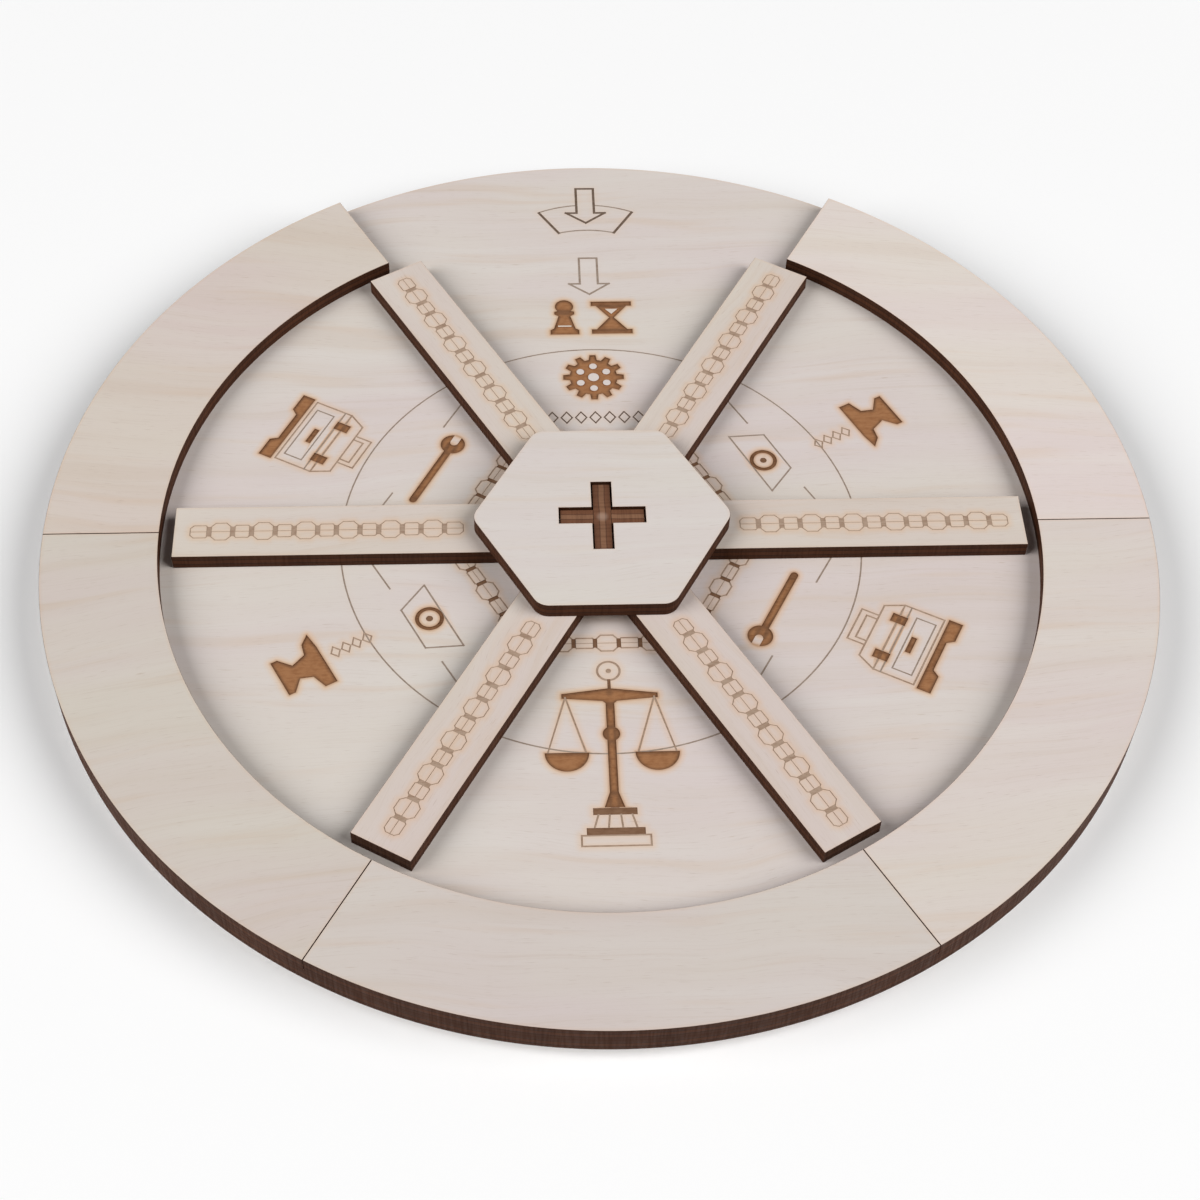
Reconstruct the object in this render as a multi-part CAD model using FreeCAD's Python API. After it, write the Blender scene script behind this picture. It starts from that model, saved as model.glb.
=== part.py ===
import FreeCAD, Part
import math
import os

# A round game board cut from plywood sheet.  A fixed board carries a raised rim, and a
# six-spoked wheel turns on it about the vertical axis.
# Frame: origin at the middle of the flat underside, +Z up, the open place of the rim at +Y.
# Lengths are in millimetres and angles in degrees, counted from +X towards +Y.

# ---- sheet and board --------------------------------------------------------------------
sheet = 4.0                  # thickness of the plywood that nearly every piece is cut from
board_radius = 128.0         # outside of the base disc and of the rim
ground_set_back = 8.0        # how far the lower disc's edge stands in, to leave a finger grip
rim_width = 26.4             # radial width of a rim segment
rim_seam = 0.15              # gap between neighbouring rim segments
sector_count = 6             # places in the rim, and spokes in the wheel
open_sector = 90.0           # middle direction of the place left without a rim segment

# ---- wheel ------------------------------------------------------------------------------
spoke_width = 14.6           # width of a spoke
spoke_end_gap = 3.4          # between a spoke's square end and the rim
hub_cap_flats = 52.1         # hub cap, from flat to flat
hub_cap_corner = 4.0         # rounding of the hub cap's corners

# ---- crossed axle -----------------------------------------------------------------------
axle_width = 19.25           # width of each of the two crossed plates
cap_slot_play = 0.37         # play round the plates in the hub cap's slot
glued_slot_play = 0.05       # play round the plates in the other pieces' slots
lap_play = 0.1               # play each side where the two plates are lapped together
axle_below_cap = 0.6         # how far the plates' tops stand below the hub cap's face

# ---- bearing and keeper -----------------------------------------------------------------
pivot_radius = 17.0          # round disc that turns in the base disc's bore
pivot_play = 0.1             # radial play of that disc in its bore
turning_play = 0.2           # height play between the keeper and the base disc
keeper_radius = 25.0         # round disc that stops the wheel from lifting off
keeper_side_play = 0.8       # radial play round the keeper
keeper_thickness = 3.0       # thinner than the sheet, so that it clears the table

# ---- sizes that follow ------------------------------------------------------------------
sector_angle = 360.0 / sector_count
half_sector = sector_angle / 2.0
rim_inner_radius = board_radius - rim_width
ground_radius = board_radius - ground_set_back
spoke_end_radius = rim_inner_radius - spoke_end_gap

# The hub core's flats are as wide as a spoke, so the spokes' inner ends close round it.
hub_core_flats = spoke_width / math.tan(math.radians(half_sector))
spoke_start_radius = hub_core_flats / 2.0

# Heights of the layers, from the table up.
ground_level = 0.0
base_level = ground_level + sheet
play_level = base_level + sheet
cap_level = play_level + sheet
top_level = cap_level + sheet

keeper_top = base_level - turning_play
keeper_bottom = keeper_top - keeper_thickness
axle_top = top_level - axle_below_cap
axle_middle = (keeper_bottom + axle_top) / 2.0

# Directions that the wheel's pieces and the crossed plates are set out by.
first_spoke = open_sector + half_sector
along = open_sector
across = open_sector + 90.0

AXIS = FreeCAD.Vector(0, 0, 1)
ORIGIN = FreeCAD.Vector(0, 0, 0)


def point(radius, angle, height):
    """A point at a radius and direction about the board's axis."""
    turn = math.radians(angle)
    return FreeCAD.Vector(radius * math.cos(turn), radius * math.sin(turn), height)


def disc(radius, bottom, thickness):
    """A round disc on the board's axis."""
    return Part.makeCylinder(radius, thickness, FreeCAD.Vector(0, 0, bottom), AXIS)


def bar(start, length, width, bottom, thickness, direction):
    """A box that runs out from a radius, its width centred on a direction."""
    corner = FreeCAD.Vector(start, -width / 2.0, bottom)
    box = Part.makeBox(length, width, thickness, corner)
    box.rotate(ORIGIN, AXIS, direction)
    return box


def slab(length, width, bottom, thickness, direction):
    """A box centred on the board's axis, its length lying in a direction."""
    return bar(-length / 2.0, length, width, bottom, thickness, direction)


def prism(corners, thickness):
    """A flat outline of straight sides, raised by a thickness."""
    outline = Part.makePolygon(corners + corners[:1])
    return Part.Face(outline).extrude(AXIS * thickness)


def regular_prism(flats, first_corner, bottom, thickness):
    """A regular prism on the board's axis, with as many sides as there are sectors."""
    corner_radius = flats / 2.0 / math.cos(math.radians(half_sector))
    corners = []
    for number in range(sector_count):
        corners.append(point(corner_radius, first_corner + number * sector_angle, bottom))
    return prism(corners, thickness)


def upright_edges(solid, bottom, thickness):
    """The straight edges that run the whole height of a prism."""
    found = []
    for edge in solid.Edges:
        box = edge.BoundBox
        stands = box.XLength < 0.001 and box.YLength < 0.001
        if stands and abs(box.ZMin - bottom) < 0.001 and abs(box.ZLength - thickness) < 0.001:
            found.append(edge)
    return found


def cross_slot(play, bottom, thickness):
    """The plus-shaped slot that the crossed plates pass through, cut past both faces."""
    length = axle_width + 2.0 * play
    width = sheet + 2.0 * play
    low = bottom - sheet
    height = thickness + 2.0 * sheet
    first = slab(length, width, low, height, along)
    second = slab(length, width, low, height, across)
    return first.fuse(second)


def make_base_disc():
    """The playing surface, with the bore that the wheel's pivot turns in."""
    bore = disc(pivot_radius + pivot_play, base_level - sheet, 3.0 * sheet)
    return disc(board_radius, base_level, sheet).cut(bore)


def make_ground_disc():
    """The lower disc, with the round window that the keeper turns in."""
    window = disc(keeper_radius + keeper_side_play, ground_level - sheet, 3.0 * sheet)
    return disc(ground_radius, ground_level, sheet).cut(window)


def make_rim_segment(middle):
    """One arc of the raised rim, its ends half a gap short of the seams and parallel to them."""
    outside = disc(board_radius, play_level, sheet)
    inside = disc(rim_inner_radius, play_level - sheet, 3.0 * sheet)
    # The wedge's sides lie parallel to the seams, half a gap inside them.
    apex_radius = rim_seam / 2.0 / math.sin(math.radians(half_sector))
    apex = point(apex_radius, middle, play_level)
    reach = 2.0 * board_radius
    first = apex + point(reach, middle - half_sector, 0.0)
    last = apex + point(reach, middle + half_sector, 0.0)
    wedge = prism([apex, first, last], sheet)
    return outside.cut(inside).common(wedge)


def make_spoke(direction):
    """One straight bar, from the hub core's flat to just short of the rim."""
    length = spoke_end_radius - spoke_start_radius
    return bar(spoke_start_radius, length, spoke_width, play_level, sheet, direction)


def make_hub_cap():
    """The rounded six-sided cap over the spokes' inner ends, its corners over the spokes."""
    cap = regular_prism(hub_cap_flats, first_spoke, cap_level, sheet)
    cap = cap.makeFillet(hub_cap_corner, upright_edges(cap, cap_level, sheet))
    return cap.cut(cross_slot(cap_slot_play, cap_level, sheet))


def make_hub_core():
    """The six-sided block that the spokes butt against, its flats towards them."""
    core = regular_prism(hub_core_flats, first_spoke + half_sector, play_level, sheet)
    return core.cut(cross_slot(glued_slot_play, play_level, sheet))


def make_pivot_disc():
    """The round disc that centres the wheel in the base disc's bore."""
    height = play_level - keeper_top
    pivot = disc(pivot_radius, keeper_top, height)
    return pivot.cut(cross_slot(glued_slot_play, keeper_top, height))


def make_keeper_disc():
    """The wide disc below the base disc that keeps the wheel from lifting off."""
    keeper = disc(keeper_radius, keeper_bottom, keeper_thickness)
    return keeper.cut(cross_slot(glued_slot_play, keeper_bottom, keeper_thickness))


def lap_notch(bottom, top):
    """The notch that lets one crossed plate pass over the other."""
    width = sheet + 2.0 * lap_play
    return slab(width, width, bottom, top - bottom, along)


def axle_plate(direction, notch):
    """An upright plate through all the wheel's layers, notched to cross the other one."""
    plate = slab(axle_width, sheet, keeper_bottom, axle_top - keeper_bottom, direction)
    return plate.cut(notch)


def make_axle_plate_across():
    """The plate that lies across the open place, notched from its top edge."""
    return axle_plate(across, lap_notch(axle_middle, top_level))


def make_axle_plate_along():
    """The plate that points to the open place, notched from its bottom edge."""
    return axle_plate(along, lap_notch(ground_level, axle_middle))


def make_parts():
    """Every piece of the board, by name."""
    parts = {
        "ground_disc": make_ground_disc(),
        "base_disc": make_base_disc(),
        "hub_cap": make_hub_cap(),
        "hub_core": make_hub_core(),
        "pivot_disc": make_pivot_disc(),
        "keeper_disc": make_keeper_disc(),
        "axle_plate_across": make_axle_plate_across(),
        "axle_plate_along": make_axle_plate_along(),
    }
    # Rim segments and spokes are numbered from the open place on, anticlockwise from above.
    for number in range(1, sector_count):
        middle = open_sector + number * sector_angle
        parts["rim_segment_%d" % number] = make_rim_segment(middle)
    for number in range(1, sector_count + 1):
        direction = first_spoke + (number - 1) * sector_angle
        parts["spoke_%d" % number] = make_spoke(direction)
    return parts


os.makedirs("parts", exist_ok=True)
for name, shape in make_parts().items():
    solids = shape.Solids
    piece = solids[0] if len(solids) == 1 else Part.makeCompound(solids)
    piece.exportStep("parts/%s.step" % name)
    print("%-20s %d solid, %9.1f mm3" % (name, len(solids), piece.Volume))
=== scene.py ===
import math

import bmesh
import bpy
from mathutils import Matrix, Vector
from mathutils.geometry import delaunay_2d_cdt
from mathutils.kdtree import KDTree


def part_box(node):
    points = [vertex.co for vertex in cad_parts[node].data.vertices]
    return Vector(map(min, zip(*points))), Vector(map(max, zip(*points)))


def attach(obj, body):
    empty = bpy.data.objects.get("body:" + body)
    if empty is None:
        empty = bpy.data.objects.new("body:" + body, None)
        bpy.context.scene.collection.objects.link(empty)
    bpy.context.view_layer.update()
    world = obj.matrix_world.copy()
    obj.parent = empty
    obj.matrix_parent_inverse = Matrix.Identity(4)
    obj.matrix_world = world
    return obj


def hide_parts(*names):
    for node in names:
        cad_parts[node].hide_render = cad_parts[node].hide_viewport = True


# A round game board, cut and engraved by laser from birch plywood.  Each plate of it has
# burnt edges and softened arrises, and any engraving is sunk into its upper face.
# Plans are drawn in millimetres, seen from above, and raised into metres at the end.
# Angles are in degrees, counted from +X towards +Y.

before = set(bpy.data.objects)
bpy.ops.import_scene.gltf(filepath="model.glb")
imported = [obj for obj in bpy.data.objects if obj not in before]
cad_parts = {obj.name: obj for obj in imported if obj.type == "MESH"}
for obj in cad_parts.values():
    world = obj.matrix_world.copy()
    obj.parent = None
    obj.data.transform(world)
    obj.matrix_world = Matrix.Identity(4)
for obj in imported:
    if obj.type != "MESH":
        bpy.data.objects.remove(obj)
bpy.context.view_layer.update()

MM = 0.001


def limits(node):
    """The lowest and highest corner of a node of the frame, in millimetres."""
    low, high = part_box(node)
    return [round(value / MM, 3) for value in low], [round(value / MM, 3) for value in high]


# ---- sizes read from the frame ----------------------------------------------------------
base_low, base_high = limits("base_disc")
ground_low, ground_high = limits("ground_disc")
rim_low, rim_high = limits("rim_segment_1")
spoke_low, spoke_high = limits("spoke_5")          # the spoke that lies along +X
cap_low, cap_high = limits("hub_cap")
axle_low, axle_high = limits("axle_plate_across")
keeper_radius = limits("keeper_disc")[1][0]
pivot_radius = limits("pivot_disc")[1][0]

board_radius = base_high[0]
ground_radius = ground_high[0]
sheet = base_high[2] - base_low[2]
spoke_start = spoke_low[0]
spoke_end = spoke_high[0]
spoke_width = spoke_high[1] - spoke_low[1]
cap_flats = cap_high[1] - cap_low[1]
axle_width = axle_high[0] - axle_low[0]

# ---- sizes of the pieces that their boxes don't give ------------------------------------
sector_count = 6              # places in the rim, and spokes in the wheel
sector_angle = 360.0 / sector_count
half_sector = sector_angle / 2.0
open_sector = 90.0            # middle direction of the place without a rim segment
rim_width = 26.4
rim_seam = 0.15
cap_corner = 4.0
cap_slot_play = 0.37
pivot_play = 0.1
keeper_side_play = 0.8
sliding_room = 0.02           # left under the spokes, which slide on the playing surface
rim_inner_radius = board_radius - rim_width

# ---- laser work --------------------------------------------------------------------------
arris = 0.06                  # softening of every cut corner
mesh_tolerance = 0.0005
weld_distance = 0.2 * mesh_tolerance
sharp_angle = 30.0            # faces that meet at more than this are shaded apart
edge_stain = 1.1              # reach of the stain beside a cut edge
edge_smoke = 0.4              # strength of the stain at a cut edge
edge_guides = (0.35, 1.0)     # where the face has lines of corners for it, as shares of its reach
mark_stain = 1.9              # reach of the stain beside engraving
scorch_pitch = 0.8            # spacing of the face's extra corners that carry that stain
edge_room = 0.5               # how far those corners keep from a cut edge
mark_room = 0.25              # and how far from the engraving
thin_line = 0.4               # widths of engraved lines
fine_line = 0.35
circle_steps = 360            # sides of the big round outlines
arc_steps = circle_steps // sector_count
window_steps = 120
bore_steps = 96
guide_ring_steps = 90
cap_corner_steps = 10

# Finishes of the faces: material slot, depth below the face, strength of the stain beside it.
VENEER = "veneer"
CUT = "cut"
FAINT = "faint"
LINE = "line"
GREY = "grey"
DARK = "dark"
FILL = "fill"
BARE = "bare"                 # an island left standing inside engraving
FINISHES = {
    VENEER: (0, 0.0, 0.0),
    CUT: (1, 0.0, 0.0),
    FAINT: (2, 0.04, 0.2),
    LINE: (3, 0.07, 0.62),
    GREY: (4, 0.1, 0.35),
    DARK: (5, 0.12, 0.7),
    FILL: (6, 0.24, 1.0),
}
ENGRAVED = (FAINT, LINE, GREY, DARK, FILL)


# ---- plan geometry -----------------------------------------------------------------------
def polar(radius, angle, centre=(0.0, 0.0)):
    """A point at a radius and direction about a centre."""
    turn = math.radians(angle)
    return centre[0] + radius * math.cos(turn), centre[1] + radius * math.sin(turn)


def arc(radius, start, end, steps, centre=(0.0, 0.0)):
    """Points along an arc, both ends included."""
    return [polar(radius, start + (end - start) * i / steps, centre) for i in range(steps + 1)]


def circle(radius, steps, centre=(0.0, 0.0)):
    """A closed round outline."""
    return arc(radius, 0.0, 360.0, steps, centre)[:-1]


def rectangle(width, height, centre=(0.0, 0.0)):
    """A closed outline with four corners."""
    x, y = centre
    w, h = width / 2.0, height / 2.0
    return [(x - w, y - h), (x + w, y - h), (x + w, y + h), (x - w, y + h)]


def set_down(points, turn=0.0, at=(0.0, 0.0)):
    """Turns points about the drawing's own zero and moves them to their place."""
    c, s = math.cos(math.radians(turn)), math.sin(math.radians(turn))
    return [(at[0] + c * x - s * y, at[1] + s * x + c * y) for x, y in points]


def anticlockwise(loop):
    """The outline in anticlockwise order."""
    area = sum(a[0] * b[1] - b[0] * a[1] for a, b in zip(loop, loop[1:] + loop[:1]))
    return loop if area > 0.0 else loop[::-1]


def inset(loop, distance):
    """An anticlockwise outline moved inwards all round, or outwards by a negative distance."""
    moved = []
    for before, here, after in zip(loop[-1:] + loop[:-1], loop, loop[1:] + loop[:1]):
        here = Vector(here)
        arriving = (here - Vector(before)).normalized()
        leaving = (Vector(after) - here).normalized()
        inward = Vector((-arriving.y - leaving.y, arriving.x + leaving.x)).normalized()
        reach = distance / inward.dot(Vector((-arriving.y, arriving.x)))
        moved.append(tuple(here + inward * reach))
    return moved


def samples(loop, spacing=0.5):
    """Points at a close spacing along a closed outline."""
    found = []
    for a, b in zip(loop, loop[1:] + loop[:1]):
        count = max(1, math.ceil(math.dist(a, b) / spacing))
        for i in range(count):
            found.append((a[0] + (b[0] - a[0]) * i / count, a[1] + (b[1] - a[1]) * i / count))
    return found


# ---- marks: (finish, closed outline) -----------------------------------------------------
def stroke(finish, start, end, width):
    """A straight line, run on past its ends by half its width."""
    start, end = Vector(start), Vector(end)
    along = (end - start).normalized() * (width / 2.0)
    side = Vector((-along.y, along.x))
    start, end = start - along, end + along
    return finish, [tuple(start - side), tuple(end - side), tuple(end + side), tuple(start + side)]


def strokes(finish, points, width, closed=False):
    """A line through several points, one stroke to each side."""
    ends = points[1:] + points[:1] if closed else points[1:]
    return [stroke(finish, a, b, width) for a, b in zip(points, ends)]


def bow(finish, radius, start, end, width, centre=(0.0, 0.0), steps=24):
    """A line along an arc."""
    outer = arc(radius + width / 2.0, start, end, steps, centre)
    inner = arc(radius - width / 2.0, end, start, steps, centre)
    return finish, outer + inner


def ring(finish, radius, width, centre=(0.0, 0.0), steps=24):
    """A round line, in two halves."""
    halves = ((0.0, 180.0), (180.0, 360.0))
    return [bow(finish, radius, start, end, width, centre, steps) for start, end in halves]


def draw(marks, turn=0.0, at=(0.0, 0.0)):
    """A drawing, turned and set down in its place."""
    return [(finish, set_down(loop, turn, at)) for finish, loop in marks]


# ---- engraved chains ---------------------------------------------------------------------
def chain_link(start, length, width, corner, line):
    """One link, an outline with cut corners, its length along +X."""
    middle = start + length / 2.0
    x, y = length / 2.0, width / 2.0
    loop = [(x - corner, -y), (x, corner - y), (x, y - corner), (x - corner, y)]
    loop += [(-px, -py) for px, py in loop]
    return strokes(LINE, set_down(loop, at=(middle, 0.0)), line, closed=True)


def chain(start, count, small, big, joint, line):
    """A chain of small and big links by turns, with a thin line along it and bars at its joints."""
    marks = []
    place = start
    for number in range(count):
        length, width, corner = big if number % 2 else small
        marks += chain_link(place, length, width, corner, line)
        if number:
            finish, along, across = joint
            marks.append((finish, rectangle(along, across, (place, 0.0))))
        place += length
    marks.insert(0, stroke(LINE, (start, 0.0), (place, 0.0), 0.14))
    return marks


def spoke_chain():
    """The chain along the middle of a spoke."""
    return chain(start=32.0, count=13, small=(4.3, 3.6, 0.8), big=(5.4, 5.0, 1.5),
                 joint=(LINE, 1.2, 2.8), line=0.2)


def hub_chain():
    """A chain that follows one side of the hexagon round the hub."""
    marks = chain(start=-17.6, count=7, small=(4.8, 2.8, 0.6), big=(5.33, 4.4, 1.3),
                  joint=(DARK, 1.0, 2.5), line=0.34)
    return draw(marks, turn=-90.0, at=(30.7, 0.0))


# ---- drawings on the playing surface -----------------------------------------------------
def arrow(finish, width):
    """An outlined arrow that points to -Y, its tip at zero."""
    shaft, wing, head, length = 2.3, 5.1, 3.8, 13.2
    loop = [(0.0, 0.0), (wing, head), (shaft, head), (shaft, length)]
    loop += [(-x, y) for x, y in reversed(loop[1:])]
    return strokes(finish, loop, width, closed=True)


def loading_place():
    """The arc-shaped frame at the open place of the rim."""
    corners = [(-7.2, 102.7), (-12.2, 110.4), (12.2, 110.4), (7.2, 102.7)]
    marks = [bow(FAINT, 28.9, 64.8, 115.2, thin_line, (0.0, 84.4))]
    marks += [bow(FAINT, 26.0, 74.0, 106.0, thin_line, (0.0, 77.7))]
    marks += [stroke(GREY, corners[0], corners[1], 0.7)]
    marks += [stroke(GREY, corners[2], corners[3], 0.7)]
    return marks


def pawn():
    """A solid pawn with a groove over its foot, 12 mm high about zero."""
    half = [(3.6, -6.0), (3.6, -4.5), (2.7, -3.9), (1.5, 0.4), (2.5, 1.1), (2.5, 2.0), (1.1, 2.4)]
    body = half + [(-x, y) for x, y in reversed(half)]
    groove = rectangle(3.4, 0.45, (0.0, -3.1))
    return [(FILL, body), (FILL, circle(2.3, 28, (0.0, 3.8))), (BARE, groove)]


def hourglass():
    """A solid hourglass between two bars, 11 mm high about zero."""
    glass = [(3.9, 4.2), (0.6, 0.0), (3.9, -4.2)]
    glass += [(-x, y) for x, y in reversed(glass)]
    bars = [(FILL, rectangle(10.2, 1.5, (0.0, y))) for y in (4.9, -4.9)]
    return bars + [(FILL, glass), (BARE, [(-1.6, 3.1), (0.0, 1.3), (1.6, 3.1)])]


def gear_wheel():
    """A solid gear wheel with a pierced web."""
    teeth, root, tip = 12, 5.9, 7.5
    pitch = 360.0 / teeth
    loop = []
    for tooth in range(teeth):
        middle = open_sector + tooth * pitch
        loop += [polar(root, middle - 0.33 * pitch), polar(tip, middle - 0.19 * pitch)]
        loop += [polar(tip, middle + 0.19 * pitch), polar(root, middle + 0.33 * pitch)]
    holes = [(BARE, circle(0.95, 16, polar(3.7, open_sector + 60.0 * i))) for i in range(6)]
    return [(FILL, loop), (BARE, circle(1.35, 20))] + holes


def lozenge_row(finish, count, pitch, width, height):
    """A row of small lozenges about zero."""
    line = 0.34
    w, h = width / 2.0, height / 2.0
    marks = []
    for number in range(count):
        x = (number - (count - 1) / 2.0) * pitch
        marks += strokes(finish, [(x + w, 0.0), (x, h), (x - w, 0.0), (x, -h)], line, closed=True)
    return marks


def wrench():
    """A solid open wrench, its head at zero and its shaft along +Y."""
    length, shaft, head, jaw, throat = 19.5, 1.8, 2.9, 1.9, -0.7
    marks = [(FILL, rectangle(shaft, length, (0.0, length / 2.0)))]
    marks += [(FILL, circle(shaft / 2.0, 16, (0.0, length)))]
    marks += [(FILL, circle(head, 36))]
    marks += [(BARE, circle(jaw / 2.0, 16, (0.0, throat)))]
    marks += [(BARE, rectangle(jaw, head, (0.0, throat - head / 2.0)))]
    return marks


def target_card():
    """An outlined card with a ring and a dot on it."""
    card = [(32.0, 30.7), (41.0, 13.4), (46.1, 20.5), (40.5, 31.2)]
    centre = (39.7, 23.0)
    marks = strokes(FAINT, card, thin_line, closed=True)
    marks += [(BARE, circle(3.3, 36, centre))]
    marks += ring(FILL, 2.8, 0.9, centre)
    marks += [(DARK, circle(0.8, 20, centre))]
    return marks


def toolbox():
    """An outlined toolbox with solid latches, lock and feet, about zero."""
    marks = strokes(LINE, rectangle(20.0, 9.6, (0.0, -2.2)), thin_line, closed=True)
    marks += strokes(LINE, [(10.0, 2.6), (7.8, 6.8), (-7.8, 6.8), (-10.0, 2.6)], thin_line)
    marks += strokes(FAINT, rectangle(15.6, 4.6, (0.0, -3.4)), fine_line, closed=True)
    marks += [stroke(FAINT, (-10.0, 0.9), (10.0, 0.9), fine_line)]
    marks += [(FILL, rectangle(2.4, 3.6, (x, 2.4))) for x in (-5.6, 5.6)]
    marks += [(FILL, rectangle(4.6, 1.3, (0.0, -2.6)))]
    for reach, top in ((4.6, 11.0), (3.4, 9.4)):
        handle = [(-reach, 6.8), (-reach, top), (reach, top), (reach, 6.8)]
        marks += strokes(LINE, handle, thin_line)
    feet = [(-10.6, -7.9), (-10.6, -11.2), (-5.4, -11.2), (-4.2, -9.6), (4.2, -9.6)]
    feet += [(5.4, -11.2), (10.6, -11.2), (10.6, -7.9)]
    return marks + [(FILL, feet)]


def anvil():
    """A solid anvil, 11 mm high about zero."""
    horn = [(-3.4, 1.9), (-6.2, 2.6), (-8.2, 4.8), (-4.2, 5.3)]
    block = [(6.6, 5.3), (6.6, 2.4), (3.0, 1.2), (2.0, -1.6), (4.9, -4.0), (4.9, -5.6)]
    foot = [(-4.9, -5.6), (-4.9, -4.0), (-2.0, -1.6)]
    return [(FILL, horn[::-1][:1] + block + foot + horn[:-1])]


def balance():
    """A beam balance on a stepped base, with a ring and a dot over it, its top at zero."""
    eye = (0.0, -2.8)
    marks = ring(LINE, 2.5, 0.5, eye) + [(LINE, circle(0.6, 16, eye))]
    marks += [stroke(DARK, (0.0, -5.4), (0.0, -9.0), 0.7)]
    beam = [(10.6, -8.9), (3.0, -7.9), (0.0, -7.5)]
    beam += [(-x, y) for x, y in reversed(beam[:-1])]
    beam += [(-10.6, -10.1), (-1.6, -10.9), (0.0, -12.4), (1.6, -10.9), (10.6, -10.1)]
    marks += [(FILL, beam)]
    for arm in (-9.8, 9.8):
        for reach in (-4.2, 4.2):
            marks += [stroke(LINE, (arm, -9.8), (arm + reach, -24.6), fine_line)]
        marks += [(FILL, arc(4.8, 180.0, 360.0, 24, (arm, -24.4)))]
    marks += [(FILL, rectangle(1.9, 27.0, (0.0, -25.0)))]
    marks += [(FILL, circle(1.9, 28, (0.0, -19.6)))]
    marks += [(FILL, [(-2.2, -38.4), (2.2, -38.4), (0.95, -34.6), (-0.95, -34.6)])]
    marks += [(DARK, rectangle(9.4, 1.7, (0.0, -39.4)))]
    for x in (-3.6, -1.2, 1.2, 3.6):
        marks += [stroke(LINE, (x, -40.2), (x * 1.25, -43.4), thin_line)]
    marks += [(DARK, rectangle(12.4, 1.7, (0.0, -44.3)))]
    marks += strokes(LINE, rectangle(14.6, 2.6, (0.0, -46.6)), thin_line, closed=True)
    return marks


def chord_stubs(direction):
    """The two ends of a chord, on both sides of a sector's middle direction."""
    distance, near, far = 49.4, 12.0, 28.5
    ends = [((distance, side * near), (distance, side * far)) for side in (-1.0, 1.0)]
    return draw([stroke(FAINT, a, b, thin_line) for a, b in ends], turn=direction)


def surface_marks():
    """Everything engraved on the playing surface."""
    marks = ring(FAINT, 60.4, 0.36, steps=guide_ring_steps)
    for direction in (30.0, 150.0, 210.0, 330.0):
        marks += chord_stubs(direction)
    for number in range(sector_count):
        marks += draw(hub_chain(), turn=open_sector + number * sector_angle)

    marks += loading_place()
    marks += [(BARE, rectangle(4.0, 8.0, (0.0, 112.0)))]
    marks += draw(arrow(GREY, 0.65), at=(0.0, 106.5))
    marks += draw(arrow(FAINT, 0.55), at=(0.0, 80.0))
    marks += draw(pawn(), at=(-6.6, 71.8))
    marks += draw(hourglass(), at=(5.3, 71.6))
    marks += draw(gear_wheel(), at=(0.0, 51.0))
    marks += draw(lozenge_row(GREY, 7, 3.5, 2.7, 3.6), at=(0.0, 37.6))

    # The side drawings come twice, half a turn apart. Toolboxes and anvils face the hub.
    side = draw(wrench(), turn=-28.4, at=(34.6, -29.4))
    side += draw(toolbox(), turn=62.0, at=(66.0, -31.5))
    side += target_card()
    side += draw(lozenge_row(LINE, 4, 2.6, 2.2, 3.0), turn=28.0, at=(57.0, 30.0))
    side += draw(anvil(), turn=118.0, at=(67.5, 36.5))
    marks += draw(side, turn=0.0) + draw(side, turn=180.0)
    marks += draw(balance(), at=(0.0, -35.6))
    return marks


# ---- plates ------------------------------------------------------------------------------
def new_object(name, data):
    """A new object in the scene, at the origin."""
    made = bpy.data.objects.new(name, data)
    bpy.context.collection.objects.link(made)
    return made


def stain_map(loops):
    """A search tree of points along some outlines."""
    points = [point for loop in loops for point in samples(loop)]
    tree = KDTree(len(points))
    for number, point in enumerate(points):
        tree.insert((point[0], point[1], 0.0), number)
    tree.balance()
    return tree


def stain_maps(borders, marks):
    """(tree, strength, reach) of each thing that smokes the face beside it."""
    maps = [(stain_map(borders), edge_smoke, edge_stain)]
    for finish in ENGRAVED:
        loops = [loop for kind, loop in marks if kind == finish]
        if loops:
            maps.append((stain_map(loops), FINISHES[finish][2], mark_stain))
    return maps


def stain_at(maps, x, y):
    """How strongly a point of the face is smoked, from 0 to 1."""
    strongest = 0.0
    for tree, strength, reach in maps:
        distance = tree.find((x, y, 0.0))[2]
        strongest = max(strongest, strength * (1.0 - distance / reach))
    return strongest


def grid_steps(values, reach):
    """The steps of the stain's grid that cover some coordinates, and a reach beyond them."""
    first = math.floor((min(values) - reach) / scorch_pitch)
    last = math.ceil((max(values) + reach) / scorch_pitch)
    return range(first, last)


def stain_points(maps, loops):
    """Extra corners for the face, on a grid, wherever engraving has smoked it."""
    edges, *engraving = [entry[0] for entry in maps]
    if not engraving:
        return []
    xs, ys = zip(*(point for loop in loops for point in loop))
    reach = mark_stain + scorch_pitch
    found = []
    for column in grid_steps(xs, reach):
        for row in grid_steps(ys, reach):
            # Every other row is shifted by half a step, so the triangles come out even.
            x = (column + 0.5 * (row % 2)) * scorch_pitch
            y = row * scorch_pitch
            edge = edges.find((x, y, 0.0))[2]
            mark = min(tree.find((x, y, 0.0))[2] for tree in engraving)
            if edge > edge_room and mark_room < mark < reach:
                found.append((x, y))
    return found


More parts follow.
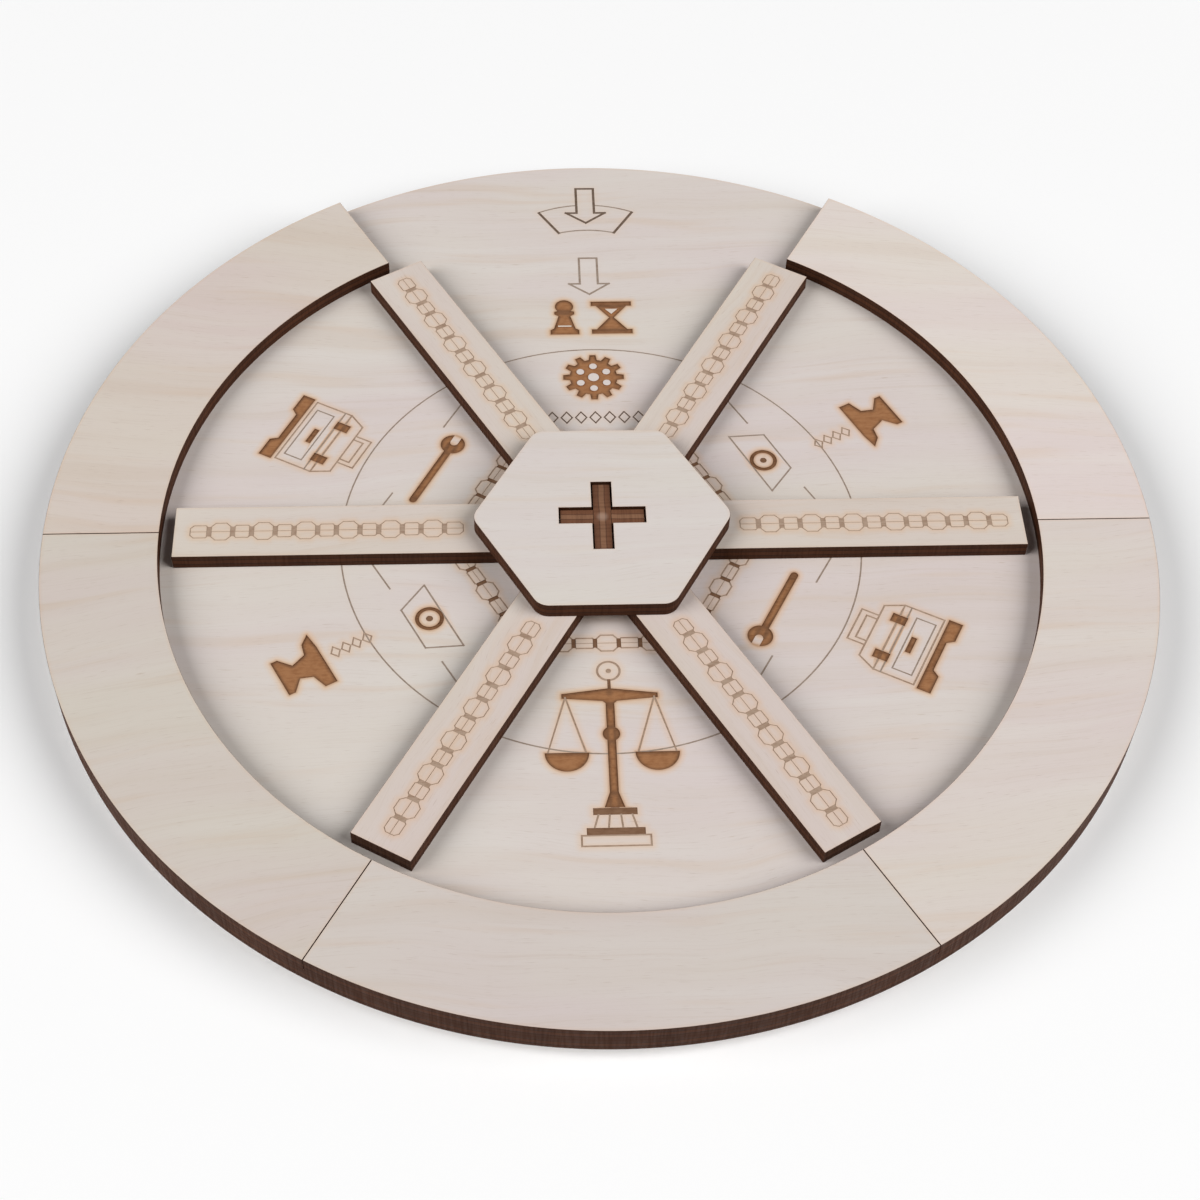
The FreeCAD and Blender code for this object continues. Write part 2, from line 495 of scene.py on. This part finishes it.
def face_sheet(mesh, outline, openings, marks, level, arris_drop):
    """Lays one face of a plate at a level, its arrises dropped at the cut edges.

    Returns the faces that are to be engraved."""
    borders = [outline] + openings
    roles = [VENEER] + ["opening"] * len(openings)
    loops = list(borders)
    loops.append(inset(outline, arris))
    roles.append("flat")
    for opening in openings:
        loops.append(inset(opening, -arris))
        roles.append("lip")
    for share in edge_guides:
        reach = share * edge_stain
        loops.append(inset(outline, reach))
        loops += [inset(opening, -reach) for opening in openings]
    roles += ["guide"] * (len(loops) - len(roles))
    for finish, loop in marks:
        loops.append(anticlockwise(loop))
        roles.append(finish)

    maps = stain_maps(borders, marks)
    corners = []
    rings = []
    for loop in loops:
        rings.append(list(range(len(corners), len(corners) + len(loop))))
        corners += [Vector(point) for point in loop]
    corners += [Vector(point) for point in stain_points(maps, [loop for finish, loop in marks])]
    laid = delaunay_2d_cdt(corners, [], rings, 1, mesh_tolerance)
    places, triangles, sources, owners = laid[0], laid[2], laid[3], laid[5]

    stain = mesh.verts.layers.float["scorch"]
    border_count = sum(len(loop) for loop in borders)
    corners = []
    for place, source in zip(places, sources):
        on_border = any(number < border_count for number in source)
        height = level + arris_drop if on_border else level
        corner = mesh.verts.new((place.x, place.y, height))
        corner[stain] = stain_at(maps, place.x, place.y)
        corners.append(corner)

    engraved = []
    for triangle, owner in zip(triangles, owners):
        inside = [roles[number] for number in sorted(owner)]
        if "opening" in inside:
            continue
        finish = VENEER
        if "flat" not in inside or "lip" in inside:
            finish = CUT
        drawn = [role for role in inside if role in ENGRAVED or role == BARE]
        if drawn and drawn[-1] != BARE:
            finish = drawn[-1]
        face = mesh.faces.new([corners[number] for number in triangle])
        face.material_index = FINISHES[finish][0]
        if finish in ENGRAVED:
            engraved.append(face)
    loose = [corner for corner in corners if not corner.link_faces]
    bmesh.ops.delete(mesh, geom=loose, context="VERTS")
    return engraved


def engrave(mesh, floor):
    """Sinks the engraved faces in steps, the shallow finishes first."""
    sunk = 0.0
    for finish in ENGRAVED:
        slot, depth = FINISHES[finish][:2]
        if not floor:
            break
        made = bmesh.ops.extrude_face_region(mesh, geom=floor)["geom"]
        lowered = [item for item in made if isinstance(item, bmesh.types.BMVert)]
        bmesh.ops.translate(mesh, verts=lowered, vec=(0.0, 0.0, sunk - depth))
        bmesh.ops.delete(mesh, geom=floor, context="FACES")
        sunk = depth
        floor = [item for item in made if isinstance(item, bmesh.types.BMFace)]
        bottom = set(floor)
        for face in floor:
            for edge in face.edges:
                for wall in edge.link_faces:
                    if wall not in bottom:
                        wall.material_index = face.material_index
        floor = [face for face in floor if face.material_index > slot]


def plate(name, node, body, outline, heights, openings, marks, finishes):
    """A flat piece cut from sheet, with burnt walls and its engraving in the upper face."""
    low, high = heights
    mesh = bmesh.new()
    mesh.verts.layers.float.new("scorch")
    outline = anticlockwise(outline)
    openings = [anticlockwise(opening) for opening in openings]
    engraved = face_sheet(mesh, outline, openings, marks, high, -arris)
    border = [edge for edge in mesh.edges if edge.is_boundary]
    wall = bmesh.ops.extrude_edge_only(mesh, edges=border)["geom"]
    for item in wall:
        if isinstance(item, bmesh.types.BMVert):
            item.co.z = low + arris
        elif isinstance(item, bmesh.types.BMFace):
            item.material_index = FINISHES[CUT][0]
    engrave(mesh, engraved)
    face_sheet(mesh, outline, openings, [], low, arris)
    bmesh.ops.remove_doubles(mesh, verts=mesh.verts, dist=weld_distance)
    bmesh.ops.recalc_face_normals(mesh, faces=mesh.faces)
    bmesh.ops.scale(mesh, vec=(MM, MM, MM), verts=mesh.verts)

    data = bpy.data.meshes.new(name)
    mesh.to_mesh(data)
    mesh.free()
    for finish in finishes:
        data.materials.append(finish)
    data.shade_smooth()
    data.set_sharp_from_angle(angle=math.radians(sharp_angle))
    piece = new_object(name, data)
    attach(piece, body)
    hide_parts(node)
    return piece


# ---- shader nodes ------------------------------------------------------------------------
SURFACE_OUTPUTS = [
    ("Color", "NodeSocketColor"), ("Roughness", "NodeSocketFloat"), ("Height", "NodeSocketFloat"),
]
PLAIN = (1.0, 1.0, 1.0)       # a tint that leaves the veneer as it is
facing_up = 0.7               # least height of a level face's normal
square_on = 0.9               # least share of a square end's normal along its spoke
score_stretch = 0.06          # scale that draws a wall's burn marks out through the sheet


def add(tree, kind, links=None, **settings):
    """Adds a node. Its inputs, by name or number, take a value or another node's output."""
    made = tree.nodes.new(kind)
    for name, value in settings.items():
        setattr(made, name, value)
    for name, value in (links or {}).items():
        if isinstance(value, bpy.types.NodeSocket):
            tree.links.new(value, made.inputs[name])
        else:
            made.inputs[name].default_value = value
    return made


def maths(tree, operation, first, second=0.0, third=0.0):
    """One sum, product or the like."""
    links = {0: first, 1: second, 2: third}
    return add(tree, "ShaderNodeMath", links, operation=operation).outputs[0]


def fade(tree, value, low, high, at_low=0.0, at_high=1.0):
    """A smooth step between two values."""
    links = {"Value": value, "From Min": low, "From Max": high, "To Min": at_low, "To Max": at_high}
    return add(tree, "ShaderNodeMapRange", links, interpolation_type="SMOOTHSTEP").outputs[0]


def blend(tree, factor, first, second, mode="MIX"):
    """Mixes two colours."""
    links = {0: factor, 6: first, 7: second}
    return add(tree, "ShaderNodeMix", links, data_type="RGBA", blend_type=mode).outputs[2]


def lay_over(tree, colour, value, low, high, strength, shade, mode="MIX"):
    """Lays a shade over a colour, from nothing at one value to its strength at another."""
    return blend(tree, fade(tree, value, low, high, 0.0, strength), colour, shade, mode)


def distance_from_middle(tree, place):
    """How far a place lies from the middle."""
    return add(tree, "ShaderNodeVectorMath", {0: place}, operation="LENGTH").outputs["Value"]


def stretched_noise(tree, place, scale, detail=2.0, roughness=0.5):
    """Noise whose grain is drawn out: scale is in turns per millimetre along each axis."""
    scaled = add(tree, "ShaderNodeVectorMath", {0: place, 1: scale}, operation="MULTIPLY")
    links = {"Vector": scaled.outputs[0], "Scale": 1.0, "Detail": detail, "Roughness": roughness}
    return add(tree, "ShaderNodeTexNoise", links).outputs["Fac"]


def new_group(name, inputs):
    """An empty group for a surface. Returns its tree, its inputs and its outputs."""
    tree = bpy.data.node_groups.new(name, "ShaderNodeTree")
    for label, kind in inputs:
        tree.interface.new_socket(label, in_out="INPUT", socket_type=kind)
    for label, kind in SURFACE_OUTPUTS:
        tree.interface.new_socket(label, in_out="OUTPUT", socket_type=kind)
    given = tree.nodes.new("NodeGroupInput").outputs
    return tree, given, tree.nodes.new("NodeGroupOutput").inputs


def give_out(tree, result, colour, roughness, height):
    """Joins a group's results to its outputs."""
    tree.links.new(colour, result["Color"])
    tree.links.new(roughness, result["Roughness"])
    tree.links.new(height, result["Height"])
    return tree


def srgb(red, green, blue):
    """A colour as a screen shows it, from 0 to 255, made linear."""
    linear = []
    for value in (red / 255.0, green / 255.0, blue / 255.0):
        linear.append(value / 12.92 if value < 0.04045 else ((value + 0.055) / 1.055) ** 2.4)
    return (*linear, 1.0)


def birch_group():
    """Rotary-cut birch veneer, its grain along X, in millimetres."""
    inputs = [("Place", "NodeSocketVector"), ("Scorch", "NodeSocketFloat")]
    inputs += [("Tint", "NodeSocketColor")]
    tree, given, result = new_group("birch veneer", inputs)

    # The grain wanders by a few millimetres from side to side.
    wander = stretched_noise(tree, given["Place"], (0.012, 0.02, 0.02))
    shift = maths(tree, "MULTIPLY_ADD", wander, 18.0, -9.0)
    straight = add(tree, "ShaderNodeSeparateXYZ", {0: given["Place"]}).outputs
    wandering = {0: straight[0], 1: maths(tree, "ADD", straight[1], shift), 2: straight[2]}
    place = add(tree, "ShaderNodeCombineXYZ", wandering).outputs[0]

    tone = stretched_noise(tree, place, (0.009, 0.03, 0.03))
    bands = stretched_noise(tree, place, (0.008, 0.15, 0.1))
    streaks = stretched_noise(tree, place, (0.022, 0.3, 0.2))
    rings = stretched_noise(tree, place, (0.01, 0.8, 0.3), 2.0, 0.6)
    patches = stretched_noise(tree, place, (0.02, 0.06, 0.05), 1.0)
    fibres = stretched_noise(tree, place, (0.06, 2.8, 1.0), 3.0, 0.6)
    pores = stretched_noise(tree, place, (0.26, 5.5, 2.0), 1.0)
    flecks = stretched_noise(tree, place, (0.16, 1.9, 1.0), 1.0)

    colour = lay_over(tree, srgb(215, 206, 196), tone, 0.32, 0.68, 1.0, srgb(214, 201, 196))
    colour = lay_over(tree, colour, bands, 0.5, 0.74, 0.32, srgb(204, 188, 173))
    colour = lay_over(tree, colour, streaks, 0.55, 0.78, 0.42, srgb(210, 190, 172))
    # The thin year rings come and go.
    shown = fade(tree, patches, 0.42, 0.62)
    thin = maths(tree, "MULTIPLY", fade(tree, rings, 0.55, 0.78, 0.0, 0.3), shown)
    colour = blend(tree, thin, colour, srgb(198, 180, 164))
    colour = lay_over(tree, colour, bands, 0.48, 0.26, 0.4, srgb(220, 213, 206))
    colour = lay_over(tree, colour, fibres, 0.5, 0.8, 0.26, srgb(190, 174, 160))
    colour = lay_over(tree, colour, pores, 0.64, 0.8, 0.4, srgb(172, 150, 134))
    colour = lay_over(tree, colour, flecks, 0.74, 0.82, 0.4, srgb(178, 154, 130))

    colour = blend(tree, 1.0, colour, given["Tint"], "MULTIPLY")

    # Smoke beside a cut: a warm cream first, and brown right at the burn.
    smoke = given["Scorch"]
    cream, brown = (1.04, 0.88, 0.72, 1.0), (0.66, 0.5, 0.36, 1.0)
    colour = lay_over(tree, colour, smoke, 0.0, 0.9, 1.0, cream, "MULTIPLY")
    colour = lay_over(tree, colour, smoke, 0.62, 1.15, 1.0, brown, "MULTIPLY")

    relief = maths(tree, "MULTIPLY", fibres, 0.01)
    pits = fade(tree, pores, 0.64, 0.8, 0.0, -0.01)
    roughness = fade(tree, fibres, 0.3, 0.7, 0.56, 0.68)
    return give_out(tree, result, colour, roughness, maths(tree, "ADD", relief, pits))


def burnt_edge_group():
    """The wall of a laser cut: three plies between two glue lines, scored through the sheet."""
    inputs = [("Place", "NodeSocketVector"), ("Through", "NodeSocketFloat")]
    inputs += [(label, "NodeSocketColor") for label in ("Outer", "Core", "Glue")]
    tree, given, result = new_group("burnt edge", inputs)

    patches = stretched_noise(tree, given["Place"], (0.1, 0.1, 0.1), 3.0)
    scores = stretched_noise(tree, given["Place"], (1.9, 1.9, 1.9), 2.0, 0.6)
    waver = stretched_noise(tree, given["Place"], (0.3, 0.3, 0.3), 1.0)
    through = maths(tree, "ADD", given["Through"], maths(tree, "MULTIPLY_ADD", waver, 0.08, -0.04))

    from_middle = maths(tree, "ABSOLUTE", maths(tree, "SUBTRACT", through, 0.5))
    inner, outer = fade(tree, from_middle, 0.13, 0.17), fade(tree, from_middle, 0.23, 0.18)
    glue = maths(tree, "MULTIPLY", inner, outer)

    soot, char = (0.7, 0.68, 0.66, 1.0), (0.6, 0.55, 0.52, 1.0)
    colour = lay_over(tree, given["Outer"], from_middle, 0.22, 0.12, 1.0, given["Core"])
    colour = lay_over(tree, colour, glue, 0.0, 1.0, 0.8, given["Glue"])
    colour = lay_over(tree, colour, patches, 0.35, 0.65, 0.6, soot, "MULTIPLY")
    colour = lay_over(tree, colour, scores, 0.42, 0.7, 0.5, char, "MULTIPLY")

    relief = maths(tree, "MULTIPLY_ADD", scores, 0.04, maths(tree, "MULTIPLY", glue, -0.03))
    return give_out(tree, result, colour, fade(tree, scores, 0.3, 0.7, 0.55, 0.75), relief)


def engraved_group():
    """The floor of laser engraving: scan lines, mottled brown, darker at its borders."""
    inputs = [("Place", "NodeSocketVector"), ("Scorch", "NodeSocketFloat")]
    inputs += [("Middle", "NodeSocketColor"), ("Border", "NodeSocketColor")]
    tree, given, result = new_group("engraved floor", inputs)

    mottle = stretched_noise(tree, given["Place"], (0.5, 0.9, 0.9), 3.0, 0.6)
    grain = stretched_noise(tree, given["Place"], (0.3, 4.5, 2.0), 2.0)
    wave = {"Vector": given["Place"], "Scale": 1.6, "Distortion": 0.4, "Detail": 1.0}
    lines = add(tree, "ShaderNodeTexWave", wave, bands_direction="Y").outputs["Fac"]

    burn, vein, scan = (0.66, 0.55, 0.46, 1.0), (0.7, 0.62, 0.55, 1.0), (0.75, 0.68, 0.6, 1.0)
    colour = lay_over(tree, given["Middle"], given["Scorch"], 0.45, 0.98, 1.0, given["Border"])
    colour = lay_over(tree, colour, mottle, 0.4, 0.7, 0.5, burn, "MULTIPLY")
    colour = lay_over(tree, colour, grain, 0.5, 0.75, 0.6, vein, "MULTIPLY")
    colour = lay_over(tree, colour, lines, 0.3, 0.9, 0.35, scan, "MULTIPLY")

    relief = maths(tree, "MULTIPLY_ADD", lines, 0.03, maths(tree, "MULTIPLY", grain, 0.02))
    return give_out(tree, result, colour, fade(tree, mottle, 0.3, 0.7, 0.6, 0.78), relief)


birch = birch_group()
burnt_edge = burnt_edge_group()
engraved_floor = engraved_group()


def new_finish(name):
    """An empty material. Returns it with its node tree and its shader."""
    finish = bpy.data.materials.new(name)
    finish.use_nodes = True
    shader = finish.node_tree.nodes["Principled BSDF"]
    shader.inputs["Specular IOR Level"].default_value = 0.25
    return finish, finish.node_tree, shader


def placed(tree, turn=0.0, shift=(0.0, 0.0, 0.0), scale=(1.0, 1.0, 1.0)):
    """Object coordinates in millimetres, the grain turned to X and shifted to its own stretch."""
    links = {
        "Vector": add(tree, "ShaderNodeTexCoord").outputs["Object"],
        "Location": shift,
        "Rotation": (0.0, 0.0, math.radians(-turn)),
        "Scale": [axis / MM for axis in scale],
    }
    return add(tree, "ShaderNodeMapping", links).outputs[0]


def dress(tree, shader, made, relief):
    """Joins a surface group's outputs to the shader, with its height as a bump."""
    tree.links.new(made.outputs["Color"], shader.inputs["Base Color"])
    tree.links.new(made.outputs["Roughness"], shader.inputs["Roughness"])
    links = {"Strength": relief, "Distance": MM, "Height": made.outputs["Height"]}
    tree.links.new(add(tree, "ShaderNodeBump", links).outputs[0], shader.inputs["Normal"])


def use(tree, group, links):
    """Places a node group."""
    return add(tree, "ShaderNodeGroup", links, node_tree=group)


def scorch_of(tree):
    """The stain that the plate's corners carry."""
    return add(tree, "ShaderNodeAttribute", attribute_name="scorch").outputs["Fac"]


def veneer_finish(name, turn, shift, tint):
    """The face of one piece, with its own stretch of veneer and shade of it."""
    finish, tree, shader = new_finish(name)
    links = {"Place": placed(tree, turn, shift), "Scorch": scorch_of(tree), "Tint": (*tint, 1.0)}
    dress(tree, shader, use(tree, birch, links), 0.8)
    return finish


def through_sheet(tree, axis, start, thickness):
    """How far through the sheet a point lies along one axis, from 0 to 1."""
    place = add(tree, "ShaderNodeTexCoord").outputs["Object"]
    along = add(tree, "ShaderNodeSeparateXYZ", {0: place}).outputs[axis]
    share = maths(tree, "MULTIPLY_ADD", along, 1.0 / (thickness * MM), -start / thickness)
    return maths(tree, "FRACT", share)


def burnt_wall(tree, outer, core, glue):
    """A burnt wall that stands upright."""
    links = {
        "Place": placed(tree, scale=(1.0, 1.0, score_stretch)),
        "Through": through_sheet(tree, 2, 0.0, sheet),
        "Outer": outer,
        "Core": core,
        "Glue": glue,
    }
    return use(tree, burnt_edge, links)


LONG_GRAIN = srgb(67, 39, 24), srgb(78, 46, 29), srgb(34, 19, 12)
END_GRAIN = srgb(74, 48, 34), srgb(84, 55, 39), srgb(38, 22, 15)


def edge_finish(name, colours):
    """The walls of the cut pieces, charred and without sheen."""
    finish, tree, shader = new_finish(name)
    shader.inputs["Specular IOR Level"].default_value = 0.1
    dress(tree, shader, burnt_wall(tree, *colours), 1.0)
    return finish


def axle_finish(name, axis):
    """An axle plate, its plies stacked along one axis, painted lighter than the other burnt walls
    and paler still at the crossing, as painted light against the shade of the slot it sits in.
    """
    finish, tree, shader = new_finish(name)
    scale = [1.0, 1.0, 1.0]
    scale[axis] = score_stretch
    links = {
        "Place": placed(tree, shift=(7.0, 3.0, 0.0), scale=scale),
        "Through": through_sheet(tree, axis, -sheet / 2.0, sheet),
        # These colours are painted light: lighter than the burnt walls', to make up for the shade
        # in the slot.
        "Outer": srgb(106, 68, 46),
        "Core": srgb(130, 93, 69),
        "Glue": srgb(76, 46, 30),
    }
    made = use(tree, burnt_edge, links)
    dress(tree, shader, made, 1.0)
    away = distance_from_middle(tree, placed(tree, scale=(1.0, 1.0, 0.0)))
    burnt = made.outputs["Color"]
    # Painted light: the middle, where the plates cross and the slot is most open, is paled.
    colour = lay_over(tree, burnt, away, 1.8, 0.3, 0.4, srgb(192, 164, 146))
    tree.links.new(colour, shader.inputs["Base Color"])
    return finish


def engraved_finish(name, middle, border):
    """The floor of one depth of engraving."""
    finish, tree, shader = new_finish(name)
    links = {
        "Place": placed(tree),
        "Scorch": scorch_of(tree),
        "Middle": srgb(*middle),
        "Border": srgb(*border),
    }
    dress(tree, shader, use(tree, engraved_floor, links), 1.0)
    return finish


def sheet_finish(name, turn, shift):
    """Both faces and walls of a plain piece of the frame, told apart by which way they face."""
    finish, tree, shader = new_finish(name)
    links = {"Place": placed(tree, turn, shift), "Scorch": 0.0, "Tint": (*PLAIN, 1.0)}
    face = use(tree, birch, links)
    wall = burnt_wall(tree, *LONG_GRAIN)
    normal = add(tree, "ShaderNodeNewGeometry").outputs["Normal"]
    upright = add(tree, "ShaderNodeSeparateXYZ", {0: normal}).outputs[2]
    level = maths(tree, "GREATER_THAN", maths(tree, "ABSOLUTE", upright), facing_up)
    colour = blend(tree, level, wall.outputs["Color"], face.outputs["Color"])
    tree.links.new(colour, shader.inputs["Base Color"])
    shader.inputs["Roughness"].default_value = 0.62
    return finish


cut_edge = edge_finish("burnt_edge", LONG_GRAIN)
end_grain = edge_finish("burnt_end_grain", END_GRAIN)
engraved_finishes = [
    engraved_finish("engraved_faint", middle=(164, 148, 135), border=(164, 148, 135)),
    engraved_finish("engraved_line", middle=(179, 155, 136), border=(179, 155, 136)),
    engraved_finish("engraved_grey", middle=(116, 98, 84), border=(110, 92, 78)),
    engraved_finish("engraved_dark", middle=(132, 99, 75), border=(124, 91, 67)),
    engraved_finish("engraved_fill", middle=(166, 117, 78), border=(126, 88, 60)),
]


# ---- pieces ------------------------------------------------------------------------------
def cut_plate(name, node, body, outline, heights, grain, tint=PLAIN, openings=(), marks=()):
    """A plate with its own veneer: heights are low and high, grain its turn and its place."""
    turn, shift = grain
    finishes = [veneer_finish(name + "_veneer", turn, shift, tint), cut_edge]
    if marks:
        finishes += engraved_finishes
    return plate(name, node, body, outline, heights, openings, marks, finishes)


def stretch(number, start, step):
    """The place in the veneer that one of several like pieces is cut from."""
    return tuple(a + number * b for a, b in zip(start, step))


# Turn of the grain and tint of each segment of the rim, in their order. Each tint is partly the
# veneer's own tone and partly painted light: it makes some segments lighter and others darker, to
# even out how the lamps' light falls across the board.
RIM_VENEERS_AND_PAINTED_LIGHT = (
    (-3.0, (0.995, 0.973, 0.957)),
    (9.0, (0.95, 0.955, 0.935)),
    (-1.0, (0.958, 0.958, 0.978)),
    (5.0, (1.043, 1.043, 1.053)),
    (-6.0, (1.117, 1.117, 1.13)),
)


def make_board():
    """The ground disc, the engraved playing surface and the five segments of the rim."""
    window = circle(keeper_radius + keeper_side_play, window_steps)
    cut_plate(
        "ground_plate", "ground_disc", "board", circle(ground_radius, circle_steps),
        heights=(ground_low[2], ground_high[2]), grain=(2.0, (310.0, 40.0, 5.0)),
        openings=[window],
    )
    bore = circle(pivot_radius + pivot_play, bore_steps)
    cut_plate(
        "playing_surface", "base_disc", "board", circle(board_radius, circle_steps),
        heights=(base_low[2], base_high[2]), grain=(1.5, (0.0, 0.0, 0.0)),
        tint=(1.03, 1.04, 1.06), openings=[bore], marks=surface_marks(),
    )
    outer_gap = math.degrees(rim_seam / 2.0 / board_radius)
    inner_gap = math.degrees(rim_seam / 2.0 / rim_inner_radius)
    for number, (turn, tint) in enumerate(RIM_VENEERS_AND_PAINTED_LIGHT, start=1):
        middle = open_sector + number * sector_angle
        start, end = middle - half_sector, middle + half_sector
        outline = arc(board_radius, start + outer_gap, end - outer_gap, arc_steps)
        outline += arc(rim_inner_radius, end - inner_gap, start + inner_gap, arc_steps)
        shift = stretch(number, start=(0.0, 90.0, 0.0), step=(37.0, 61.0, 11.0))
        cut_plate(
            # The segment's tint holds painted light as well as its veneer's own tone.
            "rim_arc_%d" % number, "rim_segment_%d" % number, "board", outline,
            heights=(rim_low[2], rim_high[2]), grain=(turn, shift), tint=tint,
        )


def hexagon_outline(flats, corner, first_corner):
    """A hexagon with rounded corners."""
    outline = []
    reach = (flats / 2.0 - corner) / math.cos(math.radians(half_sector))
    for number in range(sector_count):
        direction = first_corner + number * sector_angle
        start, end = direction - half_sector, direction + half_sector
        outline += arc(corner, start, end, cap_corner_steps, polar(reach, direction))
    return outline


def plus_outline(length, width):
    """A plus sign with square ends."""
    a, b = length / 2.0, width / 2.0
    arm = [(a, -b), (a, b), (b, b)]
    return [point for number in range(4) for point in set_down(arm, 90.0 * number)]


def burn_ends(spoke, along):
    """Gives a spoke's square ends their own burnt finish, where the laser met the end grain."""
    spoke.data.materials.append(end_grain)
    for face in spoke.data.polygons:
        if face.material_index == FINISHES[CUT][0] and abs(face.normal.dot(along)) > square_on:
            face.material_index = len(spoke.data.materials) - 1


def make_wheel():
    """The six engraved spokes and the hub cap with its slot."""
    middle = (spoke_start + spoke_end) / 2.0
    bar = rectangle(spoke_end - spoke_start, spoke_width, (middle, 0.0))
    for number in range(1, sector_count + 1):
        direction = open_sector + half_sector + (number - 1) * sector_angle
        shift = stretch(number, start=(0.0, 0.0, 30.0), step=(19.0, 23.0, 17.0))
        spoke = cut_plate(
            "chain_spoke_%d" % number, "spoke_%d" % number, "wheel", set_down(bar, direction),
            heights=(spoke_low[2] + sliding_room, spoke_high[2]), grain=(direction, shift),
            tint=(0.995, 0.98, 0.96), marks=draw(spoke_chain(), direction),
        )
        burn_ends(spoke, Vector((*polar(1.0, direction), 0.0)))
    slot = plus_outline(axle_width + 2.0 * cap_slot_play, sheet + 2.0 * cap_slot_play)
    cut_plate(
        "hub_hexagon", "hub_cap", "wheel", hexagon_outline(cap_flats, cap_corner, 0.0),
        heights=(cap_low[2], cap_high[2]), grain=(3.0, (150.0, 260.0, 70.0)),
        tint=(1.04, 1.08, 1.09), openings=[slot],
    )


def dress_frame_pieces():
    """Finishes for the pieces of the frame that stay."""
    finishes = {
        "hub_core": sheet_finish("hub_core_sheet", turn=0.0, shift=(60.0, 410.0, 15.0)),
        "pivot_disc": sheet_finish("pivot_disc_sheet", turn=20.0, shift=(90.0, 440.0, 25.0)),
        "keeper_disc": sheet_finish("keeper_disc_sheet", turn=70.0, shift=(20.0, 470.0, 35.0)),
        "axle_plate_across": axle_finish("axle_across_edge", axis=1),
        "axle_plate_along": axle_finish("axle_along_edge", axis=0),
    }
    for node, finish in finishes.items():
        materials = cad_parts[node].data.materials
        materials.clear()
        materials.append(finish)


make_board()
make_wheel()
dress_frame_pieces()


# ---- floor, light and camera: metres and watts -------------------------------------------
WHITE = (1.0, 1.0, 1.0, 1.0)
PAPER = (0.88, 0.88, 0.88, 1.0)
ROOM = (0.04, 0.04, 0.04, 1.0)
floor_radius = 5.0
floor_lap = 1.0               # its reach in under the ground disc, in millimetres
floor_steps = 96
glow_start, glow_full = 0.25, 1.0    # distances at which the floor starts and ends to whiten
glow_least = 0.12

# Name, place, width and power of the lamps.
LAMPS = (
    ("softbox_right", (3.974, -1.358, 3.396), 4.32, 260.0),
    ("softbox_left", (-4.246, -1.292, 3.076), 4.32, 248.0),
    ("softbox_below", (0.3, -0.4, -1.0), 0.8, 12.0),
)


def plain_background(tree):
    """1 for a ray that looks at the background straight, in a gloss or through glass."""
    path = add(tree, "ShaderNodeLightPath").outputs
    seen = maths(tree, "MAXIMUM", path["Is Camera Ray"], path["Is Glossy Ray"])
    return maths(tree, "MAXIMUM", seen, path["Is Transmission Ray"])


def make_floor():
    """A wide, plain, pale floor. It is open under the ground disc and clear from below."""
    mesh = bmesh.new()
    inside = (ground_radius - floor_lap) * MM
    bmesh.ops.create_circle(mesh, segments=floor_steps, radius=inside)
    outward = bmesh.ops.extrude_edge_only(mesh, edges=mesh.edges[:])["geom"]
    outward = [item for item in outward if isinstance(item, bmesh.types.BMVert)]
    wide = floor_radius / inside
    bmesh.ops.scale(mesh, vec=(wide, wide, wide), verts=outward)
    downward = [face for face in mesh.faces if face.normal.z < 0.0]
    bmesh.ops.reverse_faces(mesh, faces=downward)
    data = bpy.data.meshes.new("floor")
    mesh.to_mesh(data)
    mesh.free()
    finish, tree, shader = new_finish("floor_paper")
    shader.inputs["Base Color"].default_value = PAPER
    shader.inputs["Roughness"].default_value = 0.9
    shader.inputs["Emission Color"].default_value = WHITE
    # Away from the board the floor turns plain white, as a sweep of paper does.
    away = distance_from_middle(tree, add(tree, "ShaderNodeTexCoord").outputs["Object"])
    whitening = fade(tree, away, glow_start, glow_full, glow_least, 1.0)
    glow = maths(tree, "MULTIPLY", plain_background(tree), whitening)
    tree.links.new(glow, shader.inputs["Emission Strength"])
    below = add(tree, "ShaderNodeNewGeometry").outputs["Backfacing"]
    tree.links.new(maths(tree, "SUBTRACT", 1.0, below), shader.inputs["Alpha"])
    data.materials.append(finish)
    floor = new_object("floor", data)


def softbox(name, place, size, energy):
    """A round soft lamp that looks at the board."""
    lamp = bpy.data.lights.new(name, "AREA")
    lamp.shape = "DISK"
    lamp.size = size
    lamp.energy = energy
    place = Vector(place)
    aim = place.to_track_quat("Z", "Y").to_matrix().to_4x4()
    new_object(name, lamp).matrix_world = Matrix.Translation(place) @ aim


def make_light():
    """A dim room, a big soft lamp on either side, and one below that only the underside sees."""
    world = bpy.data.worlds.new("studio")
    bpy.context.scene.world = world
    world.use_nodes = True
    tree = world.node_tree
    colour = blend(tree, plain_background(tree), ROOM, WHITE)
    tree.links.new(colour, tree.nodes["Background"].inputs["Color"])
    for name, place, size, energy in LAMPS:
        softbox(name, place, size, energy)


def make_camera():
    """The camera, fitted to the photograph's view of the board."""
    target = Vector((-0.001075, -0.018496, 0.008))
    distance = 0.49652
    elevation, azimuth, roll = (math.radians(angle) for angle in (52.2567, -3.9294, 2.1848))
    back = Vector((
        math.sin(azimuth) * math.cos(elevation),
        -math.cos(azimuth) * math.cos(elevation),
        math.sin(elevation),
    ))
    level = Vector((math.cos(azimuth), math.sin(azimuth), 0.0))
    upright = back.cross(level)
    right = math.cos(roll) * level + math.sin(roll) * upright
    up = -math.sin(roll) * level + math.cos(roll) * upright
    lens = bpy.data.cameras.new("camera")
    lens.sensor_width = 36.0
    lens.lens = 65.54
    camera = new_object("camera", lens)
    aim = Matrix((right, up, back)).transposed().to_4x4()
    camera.matrix_world = Matrix.Translation(target + distance * back) @ aim
    bpy.context.scene.camera = camera


make_floor()
make_light()
make_camera()
bpy.context.scene.view_settings.view_transform = "Standard"
